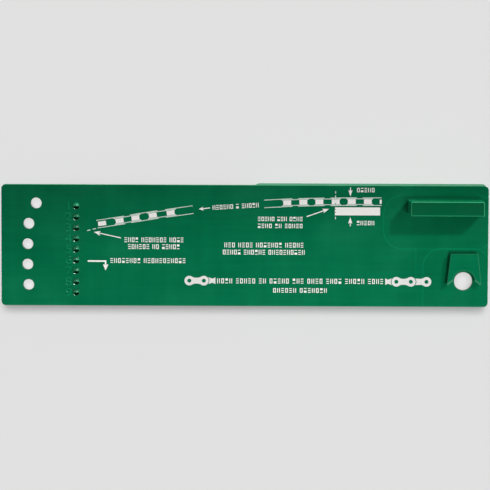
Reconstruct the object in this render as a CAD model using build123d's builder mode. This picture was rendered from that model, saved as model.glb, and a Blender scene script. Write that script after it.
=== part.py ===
from build123d import *
import os
from math import radians, sqrt, tan

# A chain wear gauge, moulded in one piece of green plastic. It lies face up.
# X runs along the plate, Y across it and Z out of its printed face, in mm.
# The origin is under the middle of the part, in the plane of the rim it rests on.

# Chain that the gauge is made for
chain_pitch = 12.7
pitches_spanned = 16

# Plate
plate_width = 56.7
plate_thickness = 2.5
plate_corner_radius = 2.0
face_edge_radius = 0.3
mould_draft = 0.5

# Open-backed box behind the holding end, whose rim the gauge rests on
box_length = 111.0
box_depth = 12.5
box_wall = 2.0
box_corner_radius = 4.7

# Bar that the chain is pinched against
bar_length = 35.0
bar_width = 6.8
bar_height = 16.5
bar_wall = 1.7
bar_end_margin = 2.8
bar_side_margin = 6.45
bar_end_draft = 2.0
bar_side_draft = 0.3
bar_corner_radius = 0.5
bar_edge_radius = 0.4

# Window that shows the roller held in the notch, from the end and the lower side
window_diameter = 8.6
window_end_margin = 11.6
window_side_margin = 12.05

# Boss with the roller notch, a trapezoid whose face ramps down to its two feet
notch_radius = 5.1
notch_rise = 0.4
boss_top_width = 12.7
boss_foot_width = 16.1
boss_top_reach = 13.4
boss_foot_drop = 1.9
boss_top_height = 6.2
boss_foot_height = 5.0
boss_wall = 2.0
boss_flank_chamfer = 0.8
boss_corner_radius = 0.4
boss_edge_radius = 0.25

# Sight holes, each one step of stretch further from the notch than the last
sight_diameter = 5.1
sight_rows = 4
sight_side_margin = 9.75
sight_end_margin = 12.7
stretch_step = 0.0026

# Hole near the corner that the gauge hangs by
hang_diameter = 5.1
hang_end_margin = 16.3
hang_side_margin = 8.75

# Pips of the stiffness scale, each a quarter-round hood over a half-round pocket
pip_diameter = 3.3
pip_pocket_diameter = 2.7
pip_pocket_depth = 1.8
pip_bevel_width = 0.35
pip_bevel_depth = 0.16
pip_count = 9
pip_end_margin = 35.0
pip_top_margin = 10.1
pip_bottom_margin = 6.16

# Sizes that follow from the ones above
gauge_length = chain_pitch * pitches_spanned
plate_length = sight_end_margin + gauge_length + window_end_margin
box_flare = box_depth * tan(radians(mould_draft))
plate_flare = plate_thickness * tan(radians(mould_draft))
rim_flare = box_flare + plate_flare

# The rim sticks out past the face only at the box's end, so the face sits a little to the left
face_centre_x = -rim_flare / 2 + plate_flare / 2
left_x = face_centre_x - plate_length / 2
right_x = face_centre_x + plate_length / 2
top_y = plate_width / 2
bottom_y = -plate_width / 2
face_z = box_depth + plate_thickness

window_x = right_x - window_end_margin
window_y = bottom_y + window_side_margin
box_centre_x = right_x - box_length / 2
bar_x = right_x - bar_end_margin - bar_length / 2
bar_y = top_y - bar_side_margin - bar_width / 2
notch_y = window_y + notch_rise
boss_top_y = window_y + boss_top_reach
boss_foot_y = window_y - boss_foot_drop

bar_top_length = bar_length - 2 * bar_height * tan(radians(bar_end_draft))
bar_top_width = bar_width - 2 * bar_height * tan(radians(bar_side_draft))
bar_core_height = plate_thickness + bar_height - bar_wall

boss_ramp = (boss_top_height - boss_foot_height) / (boss_top_reach + boss_foot_drop)
boss_core_length = boss_top_reach - notch_rise - notch_radius - 2 * boss_wall
boss_core_height = plate_thickness + boss_foot_height - boss_wall

pip_spacing = (plate_width - pip_top_margin - pip_bottom_margin) / (pip_count - 1)

# The hanging hole stands in line as the row after the last sight hole
sight_row_spacing = (plate_width - sight_side_margin - hang_side_margin) / sight_rows


def sight_place(row):
    # A stretched chain reaches further, so each row's hole lies on a wider circle about the window
    y = bottom_y + sight_side_margin + row * sight_row_spacing
    reach = gauge_length * (1 + row * stretch_step)
    return window_x - sqrt(reach**2 - (y - window_y) ** 2), y


sight_places = [sight_place(row) for row in range(sight_rows)]
hang_place = (left_x + hang_end_margin, top_y - hang_side_margin)
pip_top_y = top_y - pip_top_margin
pip_places = [(left_x + pip_end_margin, pip_top_y - i * pip_spacing) for i in range(pip_count)]

# Boss whose two feet stand either side of a roller, drawn round the notch and cut to its ramp
with BuildPart() as roller_boss:
    with BuildSketch(Plane.XY.offset(face_z)):
        with BuildLine():
            sides = Polyline(
                (window_x - notch_radius, notch_y),
                (window_x - boss_foot_width / 2, boss_foot_y),
                (window_x - boss_top_width / 2, boss_top_y),
                (window_x + boss_top_width / 2, boss_top_y),
                (window_x + boss_foot_width / 2, boss_foot_y),
                (window_x + notch_radius, notch_y),
            )
            ThreePointArc(sides @ 1, (window_x, notch_y + notch_radius), sides @ 0)
        make_face()
    extrude(amount=boss_top_height)
    ramp_start = (window_x, boss_top_y, face_z + boss_top_height)
    split(bisect_by=Plane(ramp_start, x_dir=(1, 0, 0), z_dir=(0, -boss_ramp, 1)), keep=Keep.BOTTOM)
    ramp_face = roller_boss.faces().sort_by(Axis.Z)[-1]
    straight_edges = ramp_face.edges().filter_by(GeomType.LINE)
    notch_flanks = straight_edges.filter_by_position(Axis.Y, boss_foot_y, notch_y, (False, False))
    chamfer(notch_flanks, boss_flank_chamfer)
    uprights = roller_boss.edges().filter_by(Axis.Z)
    fillet(uprights.group_by(Axis.Y)[-1] + uprights.group_by(Axis.Y)[0], boss_corner_radius)
    fillet(roller_boss.faces().sort_by(Axis.Z)[-1].edges(), boss_edge_radius)

with BuildPart() as gauge_body:
    # Plate, drafted so that its face is its smallest outline
    with BuildSketch(Plane.XY.offset(box_depth)):
        with Locations((face_centre_x, 0)):
            RectangleRounded(
                plate_length + 2 * plate_flare,
                plate_width + 2 * plate_flare,
                plate_corner_radius + plate_flare,
            )
    extrude(amount=plate_thickness, taper=mould_draft)
    fillet(gauge_body.faces().sort_by(Axis.Z)[-1].edges(), face_edge_radius)

    # Box behind the holding end, its walls carrying on down from the plate's edge
    with BuildSketch(Plane.XY) as rim_outline:
        with Locations((box_centre_x, 0)):
            Rectangle(box_length + 2 * rim_flare, plate_width + 2 * rim_flare)
        fillet(rim_outline.vertices().group_by(Axis.X)[0], box_corner_radius + rim_flare)
        fillet(rim_outline.vertices().group_by(Axis.X)[-1], plate_corner_radius + rim_flare)
    extrude(amount=box_depth, taper=mould_draft)

    # Hollow of the box, drafted like its walls
    with BuildSketch(Plane.XY):
        offset(rim_outline.sketch, amount=-box_wall)
    extrude(amount=box_depth, taper=mould_draft, mode=Mode.SUBTRACT)

    # Pinch bar, its ends sloping more than its sides
    with BuildSketch(Plane.XY.offset(face_z)):
        with Locations((bar_x, bar_y)):
            RectangleRounded(bar_length, bar_width, bar_corner_radius)
    with BuildSketch(Plane.XY.offset(face_z + bar_height)):
        with Locations((bar_x, bar_y)):
            RectangleRounded(bar_top_length, bar_top_width, bar_corner_radius)
    loft(ruled=True)
    fillet(gauge_body.faces().sort_by(Axis.Z)[-1].edges(), bar_edge_radius)

    # Roller boss
    add(roller_boss.part)

    # Cores of the bar and the boss, open to the box so that the walls stay even
    with BuildSketch(Plane.XY.offset(box_depth)):
        with Locations((bar_x, bar_y)):
            Rectangle(bar_length - 2 * bar_wall, bar_width - 2 * bar_wall)
    extrude(amount=bar_core_height, taper=mould_draft, mode=Mode.SUBTRACT)
    with BuildSketch(Plane.XY.offset(box_depth)):
        with Locations((window_x, boss_top_y - boss_wall - boss_core_length / 2)):
            Rectangle(boss_top_width - 2 * boss_wall, boss_core_length)
    extrude(amount=boss_core_height, taper=mould_draft, mode=Mode.SUBTRACT)

    # Window under the notch, sight holes and hanging hole
    with Locations((window_x, window_y, face_z)):
        Hole(window_diameter / 2, depth=plate_thickness)
    with Locations(*[(x, y, face_z) for x, y in sight_places]):
        Hole(sight_diameter / 2, depth=plate_thickness)
    with Locations((*hang_place, face_z)):
        Hole(hang_diameter / 2, depth=plate_thickness)

    # Pockets of the scale pips, their rims bevelled, then the hoods over them
    with Locations(*[(x, y, face_z) for x, y in pip_places]):
        Cylinder(
            pip_pocket_diameter / 2,
            pip_pocket_depth,
            arc_size=180,
            rotation=(0, 0, 180),
            align=(Align.CENTER, Align.MIN, Align.MAX),
            mode=Mode.SUBTRACT,
        )
    plate_face = gauge_body.faces().filter_by(Axis.Z).sort_by(SortBy.AREA)[-1]
    arcs = plate_face.edges().filter_by(GeomType.CIRCLE)
    pip_rims = [arc for arc in arcs if abs(arc.radius - pip_pocket_diameter / 2) < 0.01]
    chamfer(pip_rims, pip_bevel_width, pip_bevel_depth, reference=plate_face)
    with Locations(*[(x, y, face_z) for x, y in pip_places]):
        Sphere(
            pip_diameter / 2,
            arc_size1=0,
            arc_size3=180,
            align=(Align.CENTER, Align.MIN, Align.MIN),
        )

gauge_body.part.label = "gauge_body"
os.makedirs("parts", exist_ok=True)
export_step(gauge_body.part, "parts/gauge_body.step")
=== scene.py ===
from math import atan2, cos, degrees, hypot, radians, sin

import bpy
from mathutils import Matrix, Vector


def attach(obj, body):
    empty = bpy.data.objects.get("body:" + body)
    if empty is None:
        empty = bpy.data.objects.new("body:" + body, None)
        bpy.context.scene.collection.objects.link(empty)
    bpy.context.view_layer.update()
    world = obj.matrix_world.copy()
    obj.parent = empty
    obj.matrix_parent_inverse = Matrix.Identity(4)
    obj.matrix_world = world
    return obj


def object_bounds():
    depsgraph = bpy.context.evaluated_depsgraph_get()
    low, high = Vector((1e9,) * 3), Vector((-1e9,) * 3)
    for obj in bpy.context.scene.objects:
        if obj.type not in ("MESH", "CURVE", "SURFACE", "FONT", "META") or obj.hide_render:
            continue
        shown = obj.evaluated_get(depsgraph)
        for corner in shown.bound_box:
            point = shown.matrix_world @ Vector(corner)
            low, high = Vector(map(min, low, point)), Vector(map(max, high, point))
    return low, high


# Chain wear gauge: the moulded body comes from the frame, and this script adds what is
# printed and raised on its face, the plastic and ink, the floor, the lamps and the camera.
# Places on the gauge are in mm from the middle of its printed face.

mm = 0.001
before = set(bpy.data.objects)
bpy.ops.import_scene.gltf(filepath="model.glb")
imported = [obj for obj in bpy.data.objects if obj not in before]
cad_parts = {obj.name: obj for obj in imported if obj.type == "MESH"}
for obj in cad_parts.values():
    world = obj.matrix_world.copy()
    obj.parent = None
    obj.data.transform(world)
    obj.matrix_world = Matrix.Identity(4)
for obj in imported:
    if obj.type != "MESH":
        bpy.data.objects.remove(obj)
cadLow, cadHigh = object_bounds()
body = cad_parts["gauge_body"]
print("frame loaded:", ", ".join(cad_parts))

levelNormal = 0.999  # upward part of a facet's normal from which the facet is level
levelReach = 0.01  # how far off the face's height its vertices may lie, mm


def findFace(mesh):
    # the printed face is the height with the most area facing up
    areaAt = {}
    for polygon in mesh.polygons:
        if polygon.normal.z > levelNormal:
            height = round(polygon.center.z / mm, 2)
            areaAt[height] = areaAt.get(height, 0) + polygon.area
    height = max(areaAt, key=areaAt.get)
    edge = [v.co.x for v in mesh.vertices if abs(v.co.z / mm - height) < levelReach]
    return height, (min(edge) + max(edge)) / 2 / mm


faceHeight, faceMiddle = findFace(body.data)
barTop = cadHigh[2] / mm
print(f"face at {faceHeight} mm, middle at {faceMiddle:.3f} mm")


def newMaterial(name):
    material = bpy.data.materials.new(name)
    material.use_nodes = True
    material.node_tree.nodes.clear()
    return material, material.node_tree


def linear(hexColour):
    # sRGB hex to the linear colour that a shader socket takes
    values = [int(hexColour[i : i + 2], 16) / 255 for i in (0, 2, 4)]
    return [v / 12.92 if v <= 0.04045 else ((v + 0.055) / 1.055) ** 2.4 for v in values] + [1.0]


def addNode(tree, kind, settings=None, links=None):
    # adds a node, gives its sockets and properties their values, and links other nodes to it
    node = tree.nodes.new(kind)
    for name, value in (settings or {}).items():
        if isinstance(name, int) or name in node.inputs:
            node.inputs[name].default_value = value
        else:
            setattr(node, name, value)
    for name, output in (links or {}).items():
        tree.links.new(output, node.inputs[name])
    return node


# moulded plastic
numberHeight = 0.24  # of the raised numbers over the face, mm
plastic = {
    "base": "016642",
    "paler": "036b46",
    "deeper": "00613e",
    "barTopTone": "005c39",  # colour towards the bar's top, darker than the face
    "roughness": (0.14, 0.23),  # of the face, from one end of the swirls' range to the other
    "wallRoughness": 0.6,  # of the walls and the back, which the mould leaves duller
    "wallFrom": (0.35, 0.15),  # depth under the face where that holds, and where it begins, mm
    "ior": 1.5,
    "grainSize": 0.35,  # spark-eroded grain, mm; drawn about twice as coarse as it is
    "grainDepth": 0.003,  # mm
    "grainStrength": 0.5,
    "swirlSize": 22.0,  # slow changes of shade where the melt flowed, mm
    "swirlRoughness": 0.55,
    "swirlRange": (0.3, 0.7),  # part of the noise over which the shade changes
    # streaks along the plate, then fainter bands across it: size in mm, stretch and strength
    "streaks": [(1.6, (0.04, 1, 1), 0.045), (5.0, (1, 0.05, 1), 0.04)],
    "barTopToneFrom": 9.0,  # height over the face where the darker colour begins, mm
    "barTopToneFull": 14.0,
    "edgeDepth": 0.4,  # how far the painted highlight on the edge reaches below the bar's top, mm
    "edgeFull": 0.7,  # share of that depth over which it is fully pale
    "edgeHighlightGain": 1.9,
    "topDepth": 0.004,  # what lies nearer to the bar's top is its flat face, mm
    # painted shade in the pockets of the pips, in a box from the middle of the face that holds them
    # alone
    "pocketMiddle": (-78.75, -2.0, -0.95),
    "pocketHalf": (2.0, 22.5, 0.95),
    "pocketDepth": 0.7,  # depth where the painted shade is full, mm
    "pocketShadeTone": 0.2,
    "numberReach": 0.03,  # how far off its height a number's top may lie, mm
    # painted highlight on the numbers' tops
    "numberHighlightGain": 0.35,
    "outlineReach": 0.05,  # how far off the face's height the outlines are drawn, mm
    "outlineWidth": 0.4,  # half width of an outline, mm
    # faint paler outlines in the face: middle, half size, corner and how much paler
    "paleOutlines": [
        ((91.0, 11.4), (26.3, 12.6), 9.0, 0.3),
        ((99.2, -19.8), (15.9, 18.8), 8.5, 0.34),
        ((42.4, -2.0), (0.1, 24.0), 0.1, 0.08),
        ((79.9, -8.0), (0.1, 7.0), 0.1, 0.16),
    ],
}


def paleOutlineLine(tree, point, middle, half, corner):
    # 1 on the outline of a rounded rectangle on the face, falling to 0 on both sides of it
    centre = (middle[0] + faceMiddle, middle[1], 0)
    inner = (half[0] - corner, half[1] - corner, 0)
    flat = addNode(tree, "ShaderNodeVectorMath", {"operation": "MULTIPLY", 1: (1, 1, 0)}, {0: point})
    moved = addNode(
        tree, "ShaderNodeVectorMath", {"operation": "SUBTRACT", 1: centre}, {0: flat.outputs[0]}
    )
    folded = addNode(
        tree, "ShaderNodeVectorMath", {"operation": "ABSOLUTE"}, {0: moved.outputs[0]}
    )
    beyond = addNode(
        tree, "ShaderNodeVectorMath", {"operation": "SUBTRACT", 1: inner}, {0: folded.outputs[0]}
    )
    outside = addNode(
        tree, "ShaderNodeVectorMath", {"operation": "MAXIMUM", 1: (0, 0, 0)}, {0: beyond.outputs[0]}
    )
    reach = addNode(tree, "ShaderNodeVectorMath", {"operation": "LENGTH"}, {0: outside.outputs[0]})
    signed = addNode(
        tree, "ShaderNodeMath", {"operation": "SUBTRACT", 1: corner}, {0: reach.outputs[1]}
    )
    apart = addNode(tree, "ShaderNodeMath", {"operation": "ABSOLUTE"}, {0: signed.outputs[0]})
    line = addNode(
        tree,
        "ShaderNodeMapRange",
        {"interpolation_type": "SMOOTHSTEP", "From Min": plastic["outlineWidth"], "From Max": 0.0},
        {0: apart.outputs[0]},
    )
    return line.outputs[0]


def makeMouldedAbs():
    # ABS, injection moulded and coloured through: a satin green with a fine spark-eroded grain, slow
    # swirls of shade, faint paler outlines in its face, a darker top on the bar, painted highlights
    # on the bar's upper edge and the numbers' tops, and painted shade in the pips' pockets
    material, tree = newMaterial("moulded green ABS")
    coords = addNode(tree, "ShaderNodeTexCoord")
    place = addNode(
        tree, "ShaderNodeMapping", {"Scale": (1 / mm,) * 3}, {0: coords.outputs["Object"]}
    )
    point = place.outputs[0]
    split = addNode(tree, "ShaderNodeSeparateXYZ", links={0: point})
    height = split.outputs[2]
    swirlFrom, swirlTo = plastic["swirlRange"]

    swirl = addNode(
        tree,
        "ShaderNodeTexNoise",
        {"Scale": 1 / plastic["swirlSize"], "Detail": 3.0, "Roughness": plastic["swirlRoughness"]},
        {"Vector": point},
    )
    shade = addNode(tree, "ShaderNodeValToRGB", links={0: swirl.outputs[0]})
    shade.color_ramp.elements[0].position = swirlFrom
    shade.color_ramp.elements[0].color = linear(plastic["deeper"])
    shade.color_ramp.elements[1].position = swirlTo
    shade.color_ramp.elements[1].color = linear(plastic["paler"])
    middleShade = shade.color_ramp.elements.new((swirlFrom + swirlTo) / 2)
    middleShade.color = linear(plastic["base"])

    # streaks along the plate and bands across it multiply the shade
    brightness = None
    for size, stretch, strength in plastic["streaks"]:
        stretched = addNode(
            tree,
            "ShaderNodeVectorMath",
            {"operation": "MULTIPLY", 1: [s / size for s in stretch]},
            {0: point},
        )
        streak = addNode(
            tree,
            "ShaderNodeTexNoise",
            {"Scale": 1.0, "Detail": 2.0},
            {"Vector": stretched.outputs[0]},
        )
        level = addNode(
            tree,
            "ShaderNodeMapRange",
            {
                "From Min": swirlFrom,
                "From Max": swirlTo,
                "To Min": 1 - strength,
                "To Max": 1 + strength,
            },
            {0: streak.outputs[0]},
        )
        if brightness is None:
            brightness = level
        else:
            brightness = addNode(
                tree,
                "ShaderNodeMath",
                {"operation": "MULTIPLY"},
                {0: brightness.outputs[0], 1: level.outputs[0]},
            )

    # paler outlines, only on the face
    onFace = addNode(
        tree,
        "ShaderNodeMath",
        {"operation": "COMPARE", 1: faceHeight, 2: plastic["outlineReach"]},
        {0: height},
    )
    for middle, half, corner, gain in plastic["paleOutlines"]:
        line = paleOutlineLine(tree, point, middle, half, corner)
        kept = addNode(
            tree, "ShaderNodeMath", {"operation": "MULTIPLY"}, {0: line, 1: onFace.outputs[0]}
        )
        brightness = addNode(
            tree,
            "ShaderNodeMath",
            {"operation": "MULTIPLY_ADD", 1: gain},
            {0: kept.outputs[0], 2: brightness.outputs[0]},
        )

    # painted highlight on the tops of the raised numbers
    onNumber = addNode(
        tree,
        "ShaderNodeMath",
        {"operation": "COMPARE", 1: faceHeight + numberHeight, 2: plastic["numberReach"]},
        {0: height},
    )
    brightness = addNode(
        tree,
        "ShaderNodeMath",
        {"operation": "MULTIPLY_ADD", 1: plastic["numberHighlightGain"]},
        {0: onNumber.outputs[0], 2: brightness.outputs[0]},
    )

    # painted shade darkens the pockets downwards, and stays out of everything off their box
    depth = addNode(
        tree,
        "ShaderNodeMapRange",
        {
            "From Min": faceHeight - plastic["pocketDepth"],
            "From Max": faceHeight,
            "To Min": plastic["pocketShadeTone"],
        },
        {0: height},
    )
    away = None
    for axis, start in enumerate((faceMiddle, 0, faceHeight)):
        inside = addNode(
            tree,
            "ShaderNodeMath",
            {
                "operation": "COMPARE",
                1: plastic["pocketMiddle"][axis] + start,
                2: plastic["pocketHalf"][axis],
            },
            {0: split.outputs[axis]},
        )
        outside = addNode(
            tree, "ShaderNodeMath", {"operation": "SUBTRACT", 0: 1.0}, {1: inside.outputs[0]}
        )
        if away is None:
            away = outside
        else:
            away = addNode(
                tree,
                "ShaderNodeMath",
                {"operation": "MAXIMUM"},
                {0: away.outputs[0], 1: outside.outputs[0]},
            )
    pocketShade = addNode(
        tree,
        "ShaderNodeMath",
        {"operation": "MAXIMUM"},
        {0: depth.outputs[0], 1: away.outputs[0]},
    )
    shadedPockets = addNode(
        tree,
        "ShaderNodeMath",
        {"operation": "MULTIPLY"},
        {0: brightness.outputs[0], 1: pocketShade.outputs[0]},
    )
    shaded = addNode(
        tree,
        "ShaderNodeVectorMath",
        {"operation": "SCALE"},
        {0: shade.outputs[0], "Scale": shadedPockets.outputs[0]},
    )

    # darker colour towards the bar's top
    towardsBarTop = addNode(
        tree,
        "ShaderNodeMapRange",
        {
            "From Min": faceHeight + plastic["barTopToneFrom"],
            "From Max": faceHeight + plastic["barTopToneFull"],
        },
        {0: height},
    )
    colour = addNode(
        tree,
        "ShaderNodeMix",
        {"data_type": "RGBA", 7: linear(plastic["barTopTone"])},
        {0: towardsBarTop.outputs[0], 6: shaded.outputs[0]},
    )

    # painted highlight on the bar's rounded upper edge, not on its flat top
    edge = addNode(
        tree,
        "ShaderNodeMapRange",
        {
            "From Min": barTop - plastic["edgeDepth"],
            "From Max": barTop - plastic["edgeDepth"] * plastic["edgeFull"],
            "To Min": 1.0,
            "To Max": plastic["edgeHighlightGain"],
        },
        {0: height},
    )
    topFace = addNode(
        tree,
        "ShaderNodeMath",
        {"operation": "GREATER_THAN", 1: barTop - plastic["topDepth"]},
        {0: height},
    )
    edgeLight = addNode(
        tree, "ShaderNodeMapRange", {"To Max": 1.0}, {0: topFace.outputs[0], 3: edge.outputs[0]}
    )
    highlightedEdge = addNode(
        tree,
        "ShaderNodeVectorMath",
        {"operation": "SCALE"},
        {0: colour.outputs[2], "Scale": edgeLight.outputs[0]},
    )

    # gloss of the face, uneven with the swirls, and the duller walls
    gloss = addNode(
        tree,
        "ShaderNodeMapRange",
        {
            "From Min": swirlFrom,
            "From Max": swirlTo,
            "To Min": plastic["roughness"][0],
            "To Max": plastic["roughness"][1],
        },
        {0: swirl.outputs[0]},
    )
    roughness = addNode(
        tree,
        "ShaderNodeMapRange",
        {
            "From Min": faceHeight - plastic["wallFrom"][0],
            "From Max": faceHeight - plastic["wallFrom"][1],
            "To Min": plastic["wallRoughness"],
        },
        {0: height, 4: gloss.outputs[0]},
    )
    grain = addNode(
        tree,
        "ShaderNodeTexNoise",
        {"Scale": 1 / plastic["grainSize"], "Detail": 2.0},
        {"Vector": point},
    )
    bump = addNode(
        tree,
        "ShaderNodeBump",
        {"Strength": plastic["grainStrength"], "Distance": plastic["grainDepth"] * mm},
        {"Height": grain.outputs[0]},
    )
    shader = addNode(
        tree,
        "ShaderNodeBsdfPrincipled",
        {"IOR": plastic["ior"]},
        {
            "Base Color": highlightedEdge.outputs[0],
            "Roughness": roughness.outputs[0],
            "Normal": bump.outputs[0],
        },
    )
    addNode(tree, "ShaderNodeOutputMaterial", links={0: shader.outputs[0]})
    return material


greenAbs = makeMouldedAbs()
body.data.materials.clear()
body.data.materials.append(greenAbs)
print("plastic made")

# printing ink: thick and thin lay of each film
ink = {
    "fullLay": ("e9e6e3", "dcdedb"),
    "greyLay": ("d2d1ce", "c8cac7"),  # links on the lower half
    "thinLay": ("cbd8cf", "b4c9bc"),  # fine lines take less ink, and the green shows through
    "layRange": (0.25, 0.55),  # part of the mottle over which thin turns to thick
    "roughness": 0.5,
    "ior": 1.46,
    "mottleSize": 0.6,  # mm
    "mottleDepth": 0.004,
    "mottleStrength": 0.3,
}


def makePadInk(name, lay):
    # Pad-printed ink: an opaque off-white film with a slightly uneven lay and a dull satin
    thick, thin = ink[lay]
    material, tree = newMaterial(name)
    coords = addNode(tree, "ShaderNodeTexCoord")
    mottle = addNode(
        tree,
        "ShaderNodeTexNoise",
        {"Scale": 1 / (ink["mottleSize"] * mm), "Detail": 2.0},
        {"Vector": coords.outputs["Object"]},
    )
    film = addNode(tree, "ShaderNodeValToRGB", links={0: mottle.outputs[0]})
    for element, position, colour in zip(film.color_ramp.elements, ink["layRange"], (thin, thick)):
        element.position = position
        element.color = linear(colour)
    bump = addNode(
        tree,
        "ShaderNodeBump",
        {"Strength": ink["mottleStrength"], "Distance": ink["mottleDepth"] * mm},
        {"Height": mottle.outputs[0]},
    )
    shader = addNode(
        tree,
        "ShaderNodeBsdfPrincipled",
        {"IOR": ink["ior"], "Roughness": ink["roughness"]},
        {"Base Color": film.outputs[0], "Normal": bump.outputs[0]},
    )
    addNode(tree, "ShaderNodeOutputMaterial", links={0: shader.outputs[0]})
    return material


padInk = makePadInk("pad-printed white ink", "fullLay")
greyInk = makePadInk("pad-printed grey-white ink", "greyLay")
thinInk = makePadInk("thinly laid white ink", "thinLay")
print("inks made")

# flat shapes, as closed outlines in mm on the face
mitreLimit = 0.2  # keeps the corner of a sharp bend from running far out


def unit(a, b):
    # direction from a to b
    size = hypot(b[0] - a[0], b[1] - a[1])
    return (b[0] - a[0]) / size, (b[1] - a[1]) / size


def turned(points, angle, about=(0, 0)):
    c, s = cos(radians(angle)), sin(radians(angle))
    moved = [(x - about[0], y - about[1]) for x, y in points]
    return [(about[0] + c * x - s * y, about[1] + s * x + c * y) for x, y in moved]


def blockShape(x, y, width, height, angle=0):
    # a filled rectangle round its middle
    w, h = width / 2, height / 2
    return turned([(x - w, y - h), (x + w, y - h), (x + w, y + h), (x - w, y + h)], angle, (x, y))


def ringShape(x, y, radius, steps, start=0, end=360):
    # points along an arc, or round a whole circle
    count = steps if end - start == 360 else steps + 1
    angles = [radians(start + (end - start) * i / steps) for i in range(count)]
    return [(x + radius * cos(a), y + radius * sin(a)) for a in angles]


def strokeShape(points, width):
    # an open line with square ends and mitred bends
    left, right = [], []
    for i, (x, y) in enumerate(points):
        before = points[max(i - 1, 0)]
        after = points[min(i + 1, len(points) - 1)]
        inward = unit(before, (x, y)) if i else unit((x, y), after)
        outward = unit((x, y), after) if i < len(points) - 1 else inward
        nx, ny = -(inward[1] + outward[1]), inward[0] + outward[0]
        size = hypot(nx, ny)
        nx, ny = nx / size, ny / size
        reach = width / 2 / max(mitreLimit, nx * -inward[1] + ny * inward[0])
        left.append((x + nx * reach, y + ny * reach))
        right.append((x - nx * reach, y - ny * reach))
    return right + left[::-1]


def arrowShape(tail, tip, shaft, headWidth, headLength, notch):
    # a shaft and a head in one outline, the head's back hollowed by the notch
    dx, dy = unit(tail, tip)
    nx, ny = -dy, dx
    size = hypot(tip[0] - tail[0], tip[1] - tail[1])
    neck = size - headLength + notch

    def at(along, across):
        return tail[0] + dx * along + nx * across, tail[1] + dy * along + ny * across

    return [
        at(0, -shaft / 2),
        at(neck, -shaft / 2),
        at(size - headLength, -headWidth / 2),
        at(size, 0),
        at(size - headLength, headWidth / 2),
        at(neck, shaft / 2),
        at(0, shaft / 2),
    ]


inkHeight = 0.05  # film thickness, mm; thicker than real ink, so that it never sinks in the face
register = (-0.2, 0.45)  # how far the print lies off the plate's middle, mm


def printPiece(name, outlines, material=padInk):
    # fills closed outlines, with holes where one lies in another, into a thin closed solid
    curve = bpy.data.curves.new(name, "CURVE")
    curve.dimensions = "2D"
    curve.fill_mode = "BOTH"
    curve.extrude = inkHeight / 2 * mm
    for outline in outlines:
        spline = curve.splines.new("POLY")
        spline.points.add(len(outline) - 1)
        for point, (x, y) in zip(spline.points, outline):
            point.co = ((x + faceMiddle + register[0]) * mm, (y + register[1]) * mm, 0, 1)
        spline.use_cyclic_u = True
    shape = bpy.data.objects.new(name, curve)
    bpy.context.scene.collection.objects.link(shape)
    settle(shape, name, material, inkHeight)


def settle(shape, name, material, height):
    # turns a filled curve or text into a mesh that stands on the face
    bpy.context.view_layer.update()
    mesh = bpy.data.meshes.new_from_object(shape)
    bpy.data.objects.remove(shape)
    mesh.transform(Matrix.Translation((0, 0, (faceHeight + height / 2) * mm)))
    mesh.materials.clear()
    mesh.materials.append(material)
    for polygon in mesh.polygons:
        polygon.use_smooth = False
    mesh.name = name
    piece = bpy.data.objects.new(name, mesh)
    bpy.context.scene.collection.objects.link(piece)
    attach(piece, "root")
    return piece


# notes: rows of plain marks that stand for words
notes = {
    "stroke": 0.35,
    "markWidth": 1.25,  # at most, mm
    "markShare": 0.78,  # of the marks' spacing, at most
    "wordGap": 0.62,  # between words, as a share of the marks' spacing
    "upperBlock": 0.9,  # width of the block over a bar, as a share of the mark's
    "rowShift": 5,  # how many marks later each row starts in the order
    "order": [
        "posts",
        "rungs",
        "frame",
        "rungs",
        "posts",
        "frame",
        "lowBlock",
        "rungs",
        "posts",
        "frame",
        "highBlock",
        "posts",
        "rungs",
        "frame",
    ],
    "rows": {
        # name: start, length, angle, mark height, marks in each word
        "note_extend": ((-15.1, 17.35), 21.9, 3.4, 2.1, (6, 1, 5)),
        "note_pinch_upper": ((52.2, 25.8), 8.6, 0, 2.0, (5,)),
        "note_pinch_lower": ((52.2, 10.4), 8.6, 0, 2.0, (5,)),
        "note_align_1": ((6.1, 12.15), 21.2, 0, 2.0, (5, 3, 4)),
        "note_align_2": ((6.0, 8.9), 21.3, 0, 2.0, (4, 2, 5)),
        "note_clean_1": ((-9.6, -0.1), 37.4, 0, 2.2, (3, 4, 7, 5)),
        "note_clean_2": ((-10.3, -3.45), 38.7, 0, 2.2, (5, 6, 10)),
        "note_reading_1": ((-56.3, 2.15), 28.0, 0, 2.2, (4, 7, 4)),
        "note_reading_2": ((-54.6, -1.05), 24.5, 0, 2.2, (6, 2, 5)),
        "note_replace": ((-62.9, -7.6), 35.6, 0, 2.2, (8, 11)),
        "note_hold": ((-13.0, -16.95), 78.2, 0, 2.3, (4, 5, 2, 5, 3, 4, 4, 5, 4)),
        "note_status": ((13.2, -21.3), 25.7, 0, 2.1, (6, 7)),
    },
}


def markOutlines(kind, x, y, width, height, stroke):
    # one mark: a frame, three rungs, two posts, or a block that fills the half beside a bar
    if kind == "frame":
        hole = blockShape(x, y, width - 2 * stroke, height - 2 * stroke)
        return [blockShape(x, y, width, height), hole[::-1]]
    if kind == "rungs":
        step = (height - stroke) / 2
        return [blockShape(x, y + i * step, width, stroke) for i in (-1, 0, 1)]
    if kind == "posts":
        step = (width - stroke) / 2
        return [blockShape(x + i * step, y, stroke, height) for i in (-1, 1)]
    side, share = (-1, 1) if kind == "lowBlock" else (1, notes["upperBlock"])
    blockY = y + side * (height / 4 + stroke / 6)
    block = blockShape(x, blockY, width * share, height / 2 - stroke / 3)
    return [block, blockShape(x, y - side * (height - stroke) / 2, width, stroke)]


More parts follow.
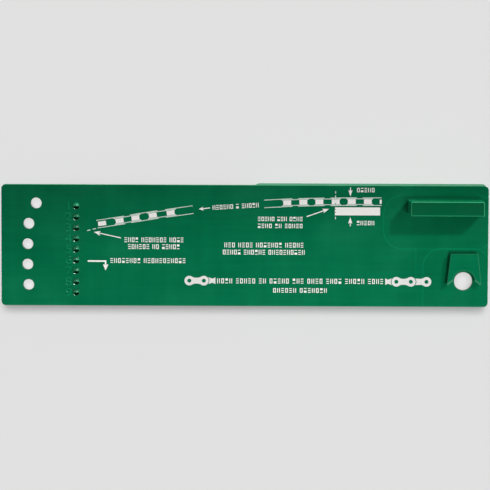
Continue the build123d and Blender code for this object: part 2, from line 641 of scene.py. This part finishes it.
def noteOutlines(start, length, angle, height, words, rowNumber):
    pitch = length / (sum(words) + notes["wordGap"] * (len(words) - 1))
    width = min(notes["markWidth"], pitch * notes["markShare"])
    outlines, along, count = [], pitch / 2, rowNumber * notes["rowShift"]
    for word in words:
        for _ in range(word):
            kind = notes["order"][count % len(notes["order"])]
            mark = markOutlines(kind, start[0] + along, start[1], width, height, notes["stroke"])
            outlines += [turned(outline, angle, start) for outline in mark]
            along += pitch
            count += 1
        along += notes["wordGap"] * pitch
    return outlines


for rowNumber, (name, row) in enumerate(notes["rows"].items()):
    printPiece(name, noteOutlines(*row, rowNumber))
print("notes printed:", len(notes["rows"]))

# chain drawings, seen on their edge: rollers between plates
chains = {
    "line": 0.32,  # thickness of a plate's line, mm
    "overlap": 0.55,  # how far a plate's line passes its rollers
    "gap": 0.12,  # bare plastic between a roller and the plates beside it
    "lineGap": 0.06,  # and between a filled corner and the line beside it
    "endGap": 0.05,  # and past the end of a roller
    "cornerReach": 0.95,  # how far the filled corner of a six-sided opening reaches
    "cornerDepth": 0.55,
    "left": {
        "rollers": [
            (-66.5, 9.75),
            (-58.3, 11.05),
            (-50.9, 12.35),
            (-42.8, 13.65),
            (-34.5, 14.85),
        ],
        "start": None,
        "end": (-24.0, 16.4),
        "firstOuter": True,  # whether an outer plate follows the first roller
        "rollerLength": 3.7,
        "rollerWidth": 2.1,
        "outerPlate": 1.8,  # distance from the chain's middle line
        "innerPlate": 1.36,
        "dashes": [((-73.45, 6.35), (-71.95, 6.65)), ((-70.85, 7.0), (-69.35, 7.3))],
        "dashWidth": 0.4,
    },
    "right": {
        "rollers": [
            (19.9, 19.75),
            (27.4, 20.0),
            (34.9, 20.2),
            (42.5, 20.3),
            (50.0, 20.4),
            (57.5, 20.4),
        ],
        "start": (9.2, 19.15),
        "end": (63.95, 20.45),
        "firstOuter": False,
        "rollerLength": 3.65,
        "rollerWidth": 2.3,
        "outerPlate": 1.78,
        "innerPlate": 1.33,
        "cutRoller": (63.5, 20.4, 0.9, 1.95),  # at the end: middle, length and width
        "marked": 3,  # roller with a mark on each side, where the middle line passes it
        "mark": (0.4, 0.55),  # width and height
        "markReach": 0.9,  # from the roller's middle
    },
}
middleLine = {
    "x": 42.45,
    "width": 0.38,
    "dashes": [(24.65, 1.1), (22.7, 1.1), (12.7, 1.2)],  # middle and length
}


def along(a, b, distance, across):
    # the point at one distance from a towards b and another to the side
    dx, dy = unit(a, b)
    return a[0] + dx * distance - dy * across, a[1] + dy * distance + dx * across


def cornerShape(chain, a, b, side):
    # the plate beside roller a, with the filled corner of the opening towards b
    half = chain["rollerLength"] / 2
    end = half + chains["endGap"]
    roller = chain["rollerWidth"] / 2
    inner = roller + chains["gap"]
    outer = chain["outerPlate"] - chains["line"] / 2 - chains["lineGap"]
    path = [
        (-half, inner),
        (end, inner),
        (end, roller - chains["cornerDepth"] / 2),
        (half + chains["cornerReach"], outer),
        (-half, outer),
    ]
    return [along(a, b, distance, side * across) for distance, across in path]


def plateLines(a, b, fromAlong, toAlong, across):
    # the two lines beside the line from a to b, from one distance along it to another
    lines = []
    for side in (-1, 1):
        ends = [along(a, b, distance, side * across) for distance in (fromAlong, toAlong)]
        lines.append(strokeShape(ends, chains["line"]))
    return lines


def rollerShapes(chain):
    # each roller lies square to the line between its neighbours
    rollers = chain["rollers"]
    ends = [chain["start"] or rollers[0]] + rollers + [chain["end"]]
    shapes = []
    for i, roller in enumerate(rollers):
        before, after = ends[i], ends[i + 2]
        angle = degrees(atan2(after[1] - before[1], after[0] - before[0]))
        shapes.append(blockShape(*roller, chain["rollerLength"], chain["rollerWidth"], angle))
    return shapes


def plateShapes(chain):
    # outer and inner plates by turns, and the filled corners beside the rollers
    rollers = chain["rollers"]
    half = chain["rollerLength"] / 2
    passed = half + chains["overlap"]
    short = half + chains["endGap"]
    shapes = []
    for i, roller in enumerate(rollers):
        before = rollers[i - 1] if i else chain["start"]
        after = rollers[i + 1] if i < len(rollers) - 1 else chain["end"]
        outerAfter = (i % 2 == 0) == chain["firstOuter"]
        if before:
            towards = after if outerAfter else before
            shapes += [cornerShape(chain, roller, towards, side) for side in (-1, 1)]
        if i == len(rollers) - 1:
            break
        size = hypot(after[0] - roller[0], after[1] - roller[1])
        if outerAfter:
            shapes += plateLines(roller, after, -passed, size + passed, chain["outerPlate"])
        else:
            shapes += plateLines(roller, after, short, size - short, chain["innerPlate"])
    # the plates run on at a chain's open ends
    for roller, end in ((rollers[-1], chain["end"]), (rollers[0], chain["start"])):
        if end:
            size = hypot(end[0] - roller[0], end[1] - roller[1])
            shapes += plateLines(roller, end, -passed, size, chain["outerPlate"])
    return shapes


def printChains():
    left, right = chains["left"], chains["right"]
    printPiece("chain_drawing_left", rollerShapes(left))
    dashes = [strokeShape(dash, left["dashWidth"]) for dash in left["dashes"]]
    printPiece("chain_plates_left", plateShapes(left) + dashes, thinInk)

    rollers = rollerShapes(right)
    rollers.append(blockShape(*right["cutRoller"]))
    markedY = right["rollers"][right["marked"]][1]
    for side in (-1, 1):
        markY = markedY + side * right["markReach"]
        rollers.append(blockShape(middleLine["x"], markY, *right["mark"]))
    printPiece("chain_drawing_right", rollers)
    printPiece("chain_plates_right", plateShapes(right), thinInk)


printChains()
print("chains printed: 2")

# pinch bar drawing, notched where the middle line passes its end
barDrawing = {
    "block": (52.7, 15.85, 21.1, 3.75),  # middle, length and width
    "notchSize": 0.4,
    "notchHeights": [16.75, 15.35],
}


def printBar():
    x, size = middleLine["x"], barDrawing["notchSize"]
    shapes = [blockShape(*barDrawing["block"])]
    shapes += [blockShape(x, y, size, size) for y in barDrawing["notchHeights"]]
    printPiece("bar_drawing", shapes)
    dashes = [blockShape(x, y, middleLine["width"], long) for y, long in middleLine["dashes"]]
    printPiece("middle_line", dashes, thinInk)


printBar()
print("bar printed")

# arrows
arrows = {
    # name: tail, tip, shaft width, head width, head length, notch
    "arrow_extend": ((-16.1, 17.2), (-21.4, 16.6), 0.45, 1.8, 2.2, 0.3),
    "arrow_reading": ((-57.7, 3.0), (-70.3, 5.75), 0.45, 2.3, 3.1, 0.7),
    "arrow_align": ((29.0, 13.3), (39.4, 16.95), 0.45, 2.2, 3.0, 0.5),
    "arrow_pinch_upper": ((49.35, 27.0), (49.35, 22.85), 0.4, 1.9, 2.9, 0.3),
    "arrow_pinch_lower": ((49.35, 8.9), (49.35, 13.1), 0.4, 1.9, 2.9, 0.3),
}
bentArrow = {
    "line": [(-73.2, -7.9), (-64.85, -7.9), (-64.85, -9.4)],
    "width": 0.75,
    "head": [(-66.1, -9.5), (-63.6, -9.5), (-64.85, -12.3)],
}
for name, arrow in arrows.items():
    printPiece(name, [arrowShape(*arrow)])
bentLine = strokeShape(bentArrow["line"], bentArrow["width"])
printPiece("arrow_replace", [bentLine, bentArrow["head"]])
print("arrows printed:", len(arrows) + 1)

# link drawings, seen from the side
links = {
    "lobe": 2.26,
    "lobeArc": 125,  # degrees either way from a link's end
    "lobeSteps": 22,
    "hole": 0.94,
    "holeSteps": 18,
    "waist": 1.36,
    "waistReach": 1.15,  # either side of the waist's middle, where its curve is held, mm
    "waistFlare": 0.06,  # how much wider it is there, for each mm along
    "stubWaist": 0.95,
    "stubArc": 37,  # of the hollow round a lobe, degrees either way
    "stubSteps": 8,
    "gap": 0.32,  # bare plastic between two links
    "left": {"lobes": [(-25.7, -16.9), (-18.9, -16.9)], "stubEnd": -13.5},
    "right": {"lobes": [(71.1, -17.05), (77.9, -17.05)], "stubEnd": 65.9},
    "last": {"lobe": (85.2, -17.05), "lobeArc": 130, "waistX": 82.6},
}


def holeOutline(x, y):
    return ringShape(x, y, links["hole"], links["holeSteps"])[::-1]


def linkOutlines(a, b):
    # a figure-of-eight plate with its two holes
    lobe, steps, arc = links["lobe"], links["lobeSteps"], links["lobeArc"]
    middle = (a[0] + b[0]) / 2
    reach, flare = links["waistReach"], links["waistFlare"]
    right = ringShape(*b, lobe, steps, -arc, arc)
    left = ringShape(*a, lobe, steps, 180 - arc, 180 + arc)
    top = [(middle + x, a[1] + links["waist"] + abs(x) * flare) for x in (reach, 0, -reach)]
    bottom = [(middle + x, a[1] - links["waist"] - abs(x) * flare) for x in (-reach, 0, reach)]
    return [right + top + left + bottom, holeOutline(*a), holeOutline(*b)]


def stubOutline(end, lobe):
    # the end of the next link, cut off straight on one side and hollowed round a lobe on the other
    x, y = lobe
    arc, waist = links["stubArc"], links["stubWaist"]
    start, side = (0, 1) if end > x else (180, -1)
    gap = links["lobe"] + links["gap"]
    near = ringShape(x, y, gap, links["stubSteps"], start - arc, start + arc)
    waistX = (end + near[len(near) // 2][0]) / 2
    half = near[-1][1] - y
    far = [(end, y + half), (end, y - half)]
    return near + [(waistX, y + side * waist)] + far + [(waistX, y - side * waist)]


def lastLinkOutlines(before):
    # the cut end of the last link: one lobe, and a hollow round the lobe before it
    last, arc = links["last"], links["stubArc"]
    x, y = last["lobe"]
    end = ringShape(x, y, links["lobe"], links["lobeSteps"], -last["lobeArc"], last["lobeArc"])
    gap = links["lobe"] + links["gap"]
    hollow = ringShape(before[0], y, gap, links["stubSteps"], arc, -arc)
    high, low = [(last["waistX"], y + side * links["waist"]) for side in (1, -1)]
    return [end + [high] + hollow + [low], holeOutline(x, y)]


def printLinks():
    left, right = links["left"], links["right"]
    leftStub = stubOutline(left["stubEnd"], left["lobes"][1])
    printPiece("link_drawing_left", linkOutlines(*left["lobes"]) + [leftStub], greyInk)
    rightStub = stubOutline(right["stubEnd"], right["lobes"][0])
    shapes = linkOutlines(*right["lobes"]) + [rightStub] + lastLinkOutlines(right["lobes"][1])
    printPiece("link_drawing_right", shapes, greyInk)


printLinks()
print("links printed: 2")

# raised numbers beside the pips
numbers = {
    "size": 5.6,  # of the type, mm
    "round": 0.06,  # radius of a stroke's rounded edge, mm
    "thin": -0.08,  # how far a stroke's outline is drawn in
    "widen": 1.35,
    "x": -82.4,
    "firstY": 18.15,
    "step": 5.055,
    "count": 9,
}


def raiseNumbers():
    for i in range(numbers["count"]):
        name = f"number_{i + 1}"
        text = bpy.data.curves.new(name, "FONT")
        text.body = str(i + 1)
        text.align_x = "CENTER"
        text.align_y = "CENTER"
        text.size = numbers["size"] * mm
        text.offset = numbers["thin"] * mm
        text.bevel_depth = numbers["round"] * mm
        text.bevel_resolution = 1
        text.extrude = (numberHeight / 2 - numbers["round"]) * mm
        text.resolution_u = 4
        shape = bpy.data.objects.new(name, text)
        bpy.context.scene.collection.objects.link(shape)
        piece = settle(shape, name, greenAbs, numberHeight)
        piece.data.transform(Matrix.Diagonal((numbers["widen"], 1, 1, 1)))
        x, y = numbers["x"] + faceMiddle, numbers["firstY"] - i * numbers["step"]
        piece.data.transform(Matrix.Translation((x * mm, y * mm, 0)))


raiseNumbers()
print("numbers raised:", numbers["count"])

# floor
floorLook = {
    "glow": 0.32,  # added where it is seen, so that the backdrop is pale
    "shade": 0.25,
    "toothSize": 2.5,  # mm
    "toothTone": 0.005,
    "reach": 6.0,  # half of its side, m
}


def makeMattWhite():
    # matt studio white: a faint tooth in a flat tone, and the pale grey seen behind the gauge
    material, tree = newMaterial("matt white floor")
    coords = addNode(tree, "ShaderNodeTexCoord")
    tooth = addNode(
        tree,
        "ShaderNodeTexNoise",
        {"Scale": 1 / (floorLook["toothSize"] * mm), "Detail": 2.0},
        {"Vector": coords.outputs["Object"]},
    )
    lay = addNode(
        tree,
        "ShaderNodeMapRange",
        {
            "To Min": floorLook["shade"] * (1 - floorLook["toothTone"]),
            "To Max": floorLook["shade"] * (1 + floorLook["toothTone"]),
        },
        {0: tooth.outputs[0]},
    )
    diffuse = addNode(tree, "ShaderNodeBsdfDiffuse", links={"Color": lay.outputs[0]})
    rays = addNode(tree, "ShaderNodeLightPath")
    seen = rays.outputs["Is Camera Ray"]
    for kind in ("Is Glossy Ray", "Is Transmission Ray"):
        either = addNode(
            tree, "ShaderNodeMath", {"operation": "MAXIMUM"}, {0: seen, 1: rays.outputs[kind]}
        )
        seen = either.outputs[0]
    strength = addNode(
        tree, "ShaderNodeMath", {"operation": "MULTIPLY", 1: floorLook["glow"]}, {0: seen}
    )
    glow = addNode(tree, "ShaderNodeEmission", links={"Strength": strength.outputs[0]})
    both = addNode(tree, "ShaderNodeAddShader", links={0: diffuse.outputs[0], 1: glow.outputs[0]})
    addNode(tree, "ShaderNodeOutputMaterial", links={0: both.outputs[0]})
    return material


def makeFloor():
    mesh = bpy.data.meshes.new("floor")
    corners = [(x, y, 0) for x, y in ((-1, -1), (1, -1), (1, 1), (-1, 1))]
    mesh.from_pydata([Vector(c) * floorLook["reach"] for c in corners], [], [(0, 1, 2, 3)])
    mesh.materials.append(makeMattWhite())
    floor = bpy.data.objects.new("floor", mesh)
    bpy.context.scene.collection.objects.link(floor)
    return floor


floor = makeFloor()
print("floor laid")

# the room round the gauge
studio = {
    "seen": 0.753,  # brightness to the camera
    "fill": 0.25,  # on matt surfaces
    "walls": 1.2,  # in gloss, up to the walls' top
    "ceiling": 0.01,
    "wallTop": (0.55, 0.8),  # sine of the height where the walls begin to darken, and where they end
}


def makeWorld():
    # gloss mirrors pale walls under a dark ceiling, and matt surfaces get an even fill
    world = bpy.data.worlds.new("studio")
    bpy.context.scene.world = world
    world.use_nodes = True
    tree = world.node_tree
    tree.nodes.clear()
    rays = addNode(tree, "ShaderNodeLightPath")
    space = addNode(tree, "ShaderNodeTexCoord")
    upward = addNode(tree, "ShaderNodeSeparateXYZ", links={0: space.outputs["Generated"]})
    mirrored = addNode(
        tree,
        "ShaderNodeMapRange",
        {
            "From Min": studio["wallTop"][0],
            "From Max": studio["wallTop"][1],
            "To Min": studio["walls"],
            "To Max": studio["ceiling"],
        },
        {0: upward.outputs[2]},
    )
    fill = addNode(
        tree,
        "ShaderNodeMapRange",
        {"To Min": studio["fill"]},
        {0: rays.outputs["Is Glossy Ray"], 4: mirrored.outputs[0]},
    )
    level = addNode(
        tree,
        "ShaderNodeMapRange",
        {"To Max": studio["seen"]},
        {0: rays.outputs["Is Camera Ray"], 3: fill.outputs[0]},
    )
    background = addNode(tree, "ShaderNodeBackground", links={"Strength": level.outputs[0]})
    addNode(tree, "ShaderNodeOutputWorld", links={0: background.outputs[0]})


makeWorld()
print("world made")

# suns, the edge suns so low that they light only walls and rounded edges
lamps = {
    # name: direction to the sun, strength, angle, whether it lights the floor alone
    "sideSun": ((0.418, 0.474, 0.775), 1.35, 5.0, False),
    "northEdgeSun": ((0.05, 0.95, 0.02), 4.5, 2.0, False),
    "southEdgeSun": ((-0.1, -0.95, 0.02), 3.2, 2.0, False),
    "eastEdgeSun": ((0.95, 0.05, 0.02), 3.0, 2.0, False),
    "westEdgeSun": ((-0.95, 0.05, 0.02), 0.6, 2.0, False),
    "floorSun": ((0.02, 0.27, 1.0), 4.96, 19.0, True),
}

# sun that only gloss shows, where the bevels of the pips mirror it to the camera
glintSun = {"direction": (0.378, 0.52, 0.766), "strength": 2.9, "angle": 13.0}

# long softbox over the lower half of the face: a wide cone along the gauge, narrow across it
softbox = {
    "places": [(173.0, -130.0, 1016.0), (233.0, -130.0, 1016.0), (293.0, -130.0, 1016.0)],  # mm
    "aim": (60.0, -31.0, 15.0),
    "reachAlong": 350.0,  # half size of the pool of light at the face, mm
    "reachAcross": 73.0,
    "power": 9.2,  # of each
    "size": 0.02,  # m
}

# narrow lamps in line with the camera and each hole, for the floor seen through it
holeLamps = {
    "distance": 450.0,
    "spread": 10.0,  # width of the patch of light at the face, mm
    "power": 12.5,
    "shift": (0.0, 1.8),  # how far the patch lies off the hole, away from the sun's through it, mm
    "windowSpread": 22.0,
    "windowPower": 12.0,
    "windowShift": (1.4, 6.6),
    "holes": [(-97.45, 19.6), (-100.93, 10.05), (-101.41, 0.5), (-101.45, -9.05), (-101.04, -18.6)],
    "window": (102.15, -16.3),
}

# what the floor's own lamps light, and what all the others light
onlyFloor = bpy.data.collections.new("lit floor")
allButFloor = bpy.data.collections.new("lit without the floor")
onlyFloor.objects.link(floor)
allButFloor.objects.link(floor)
allButFloor.collection_objects[0].light_linking.link_state = "EXCLUDE"
faceTarget = Vector((faceMiddle * mm, 0, faceHeight * mm))


def placeLamp(light, towards, target, lightsFloor):
    # sets a lamp off its target, pointing back at it
    lamp = bpy.data.objects.new(light.name, light)
    bpy.context.scene.collection.objects.link(lamp)
    lamp.location = target + towards
    lamp.rotation_mode = "QUATERNION"
    lamp.rotation_quaternion = towards.to_track_quat("Z", "Y")
    lamp.light_linking.receiver_collection = onlyFloor if lightsFloor else allButFloor
    return lamp


def makeSun(name, direction, strength, angle, lightsFloor):
    light = bpy.data.lights.new(name, "SUN")
    light.energy = strength
    light.angle = radians(angle)
    return placeLamp(light, Vector(direction).normalized(), faceTarget, lightsFloor)


def makeSuns():
    for name, values in lamps.items():
        makeSun(name, *values).visible_glossy = False
    makeSun("glintSun", *glintSun.values(), False).visible_diffuse = False


def makeSoftbox():
    aim = Vector(softbox["aim"]) * mm
    wide = Matrix.Diagonal((softbox["reachAlong"] / softbox["reachAcross"], 1, 1, 1))
    for number, place in enumerate(softbox["places"]):
        light = bpy.data.lights.new(f"softbox{number}", "SPOT")
        light.energy = softbox["power"]
        light.shadow_soft_size = softbox["size"]
        light.spot_blend = 1.0
        towards = Vector(place) * mm - aim
        light.spot_size = 2 * atan2(softbox["reachAcross"] * mm, towards.length)
        lamp = placeLamp(light, towards, aim, False)
        lamp.visible_glossy = False
        # turned so that the widened side of its cone runs along the gauge
        back = towards.normalized()
        side = (Vector((1, 0, 0)) - back * back.x).normalized()
        turn = Matrix((side, back.cross(side), back)).transposed().to_4x4()
        lamp.matrix_world = Matrix.Translation(aim + towards) @ turn @ wide


def makeHoleLamps(eye):
    small = [holeLamps[key] for key in ("spread", "power", "shift")]
    large = [holeLamps[key] for key in ("windowSpread", "windowPower", "windowShift")]
    spots = [(hole, small) for hole in holeLamps["holes"]] + [(holeLamps["window"], large)]
    for number, ((x, y), (spread, power, shift)) in enumerate(spots):
        light = bpy.data.lights.new(f"holeLamp{number}", "SPOT")
        light.energy = power
        light.shadow_soft_size = 0
        light.spot_size = 2 * atan2(spread / 2, holeLamps["distance"])
        light.spot_blend = 1.0
        target = Vector(((faceMiddle + x) * mm, y * mm, faceHeight * mm))
        towards = (eye - target).normalized() * holeLamps["distance"] * mm
        aim = target + Vector((*shift, 0)) * mm
        placeLamp(light, target + towards - aim, aim, True).visible_glossy = False


makeSuns()
makeSoftbox()

# camera over the gauge, a little to the side that the bar is on
cameraView = {
    "over": (0.0, 92.15, 1196.0),  # from the middle of the face, mm
    "aim": (0.07, 0.35),
    "lens": 188.65,
    "sensor": 36,
    "clip": (0.05, 20),
    "turn": 0.23,
}


def makeCamera():
    data = bpy.data.cameras.new("camera")
    data.lens = cameraView["lens"]
    data.sensor_width = cameraView["sensor"]
    data.clip_start, data.clip_end = cameraView["clip"]
    camera = bpy.data.objects.new("camera", data)
    bpy.context.scene.collection.objects.link(camera)
    place = faceTarget + Vector(cameraView["over"]) * mm
    aim = faceTarget + Vector((*cameraView["aim"], 0)) * mm
    back = (place - aim).normalized()
    right = Vector((0, 1, 0)).cross(back).normalized()
    up = back.cross(right)
    turn = radians(cameraView["turn"])
    rightTurned = right * cos(turn) + up * sin(turn)
    upTurned = up * cos(turn) - right * sin(turn)
    axes = Matrix((rightTurned, upTurned, back)).transposed()
    camera.matrix_world = Matrix.Translation(place) @ axes.to_4x4()
    bpy.context.scene.camera = camera
    return camera


camera = makeCamera()
print("camera set")
makeHoleLamps(camera.location)
bpy.context.scene.view_settings.view_transform = "Standard"
